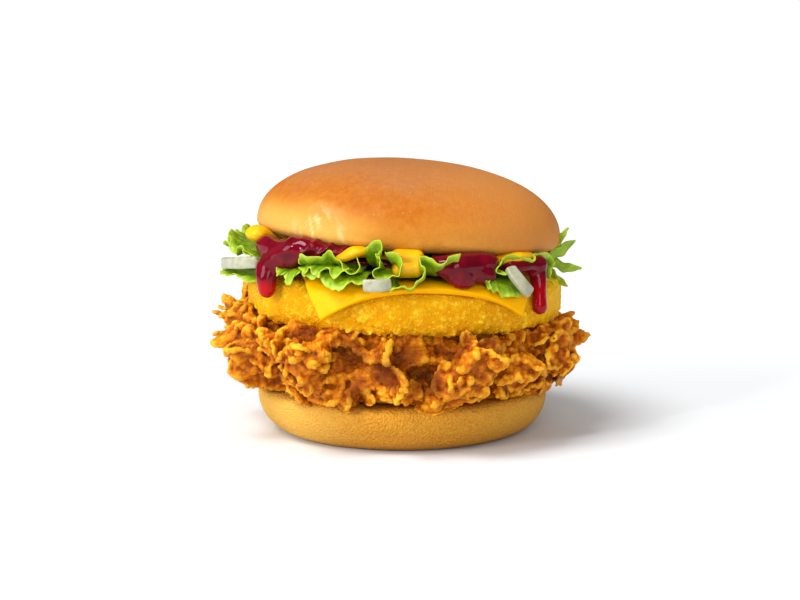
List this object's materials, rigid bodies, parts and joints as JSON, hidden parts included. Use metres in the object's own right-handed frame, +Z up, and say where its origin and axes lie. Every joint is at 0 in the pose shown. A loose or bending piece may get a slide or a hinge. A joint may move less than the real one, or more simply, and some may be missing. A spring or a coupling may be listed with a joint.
{
  "type": "chicken burger",
  "caption": "Soft bun round a craggy fried chicken fillet, a crumbed patty, a draped cheese slice, frilled lettuce, onion strips, berry jam and yellow sauce.",
  "frame": {"origin": "middle of the heel's flat underside", "axes": "+Z up through the stack, -Y towards the side that the picture shows"},
  "size_m": [0.1333, 0.1281, 0.0986],
  "materials": {
    "bun_crown": "baked bread, satin egg-washed skin",
    "bun_heel": "baked bread, matt with fine pores",
    "breaded_patty": "fine golden crumb",
    "cheese_slice": "smooth soft cheese, slight sheen",
    "fried_chicken": "craggy fried crust",
    "berry_jam": "wet glossy jelly",
    "yellow_sauce": "thick glossy sauce with dark specks",
    "onion": "moist white flesh with faint fibres",
    "lettuce": "waxy leaf, paler at its frilled edge"
  },
  "bodies": {
    "root": {"bun_crown": "bun_crown", "bun_heel": "bun_heel", "breaded_patty": "breaded_patty", "cheese_slice": "cheese_slice", "fried_chicken": "fried_chicken", "berry_jam": "berry_jam", "yellow_sauce": "yellow_sauce", "onion_left": "onion", "onion_front": "onion", "onion_right": "onion", "onion_back": "onion", "lettuce_sprig": "lettuce", "lettuce_left": "lettuce", "lettuce_left_low": "lettuce", "lettuce_front_left": "lettuce", "lettuce_front_top": "lettuce", "lettuce_front_low": "lettuce", "lettuce_scoop": "lettuce", "lettuce_ribbon": "lettuce", "lettuce_right": "lettuce", "lettuce_right_low": "lettuce", "lettuce_back_right": "lettuce", "lettuce_back_left": "lettuce"}
  },
  "joints": []
}
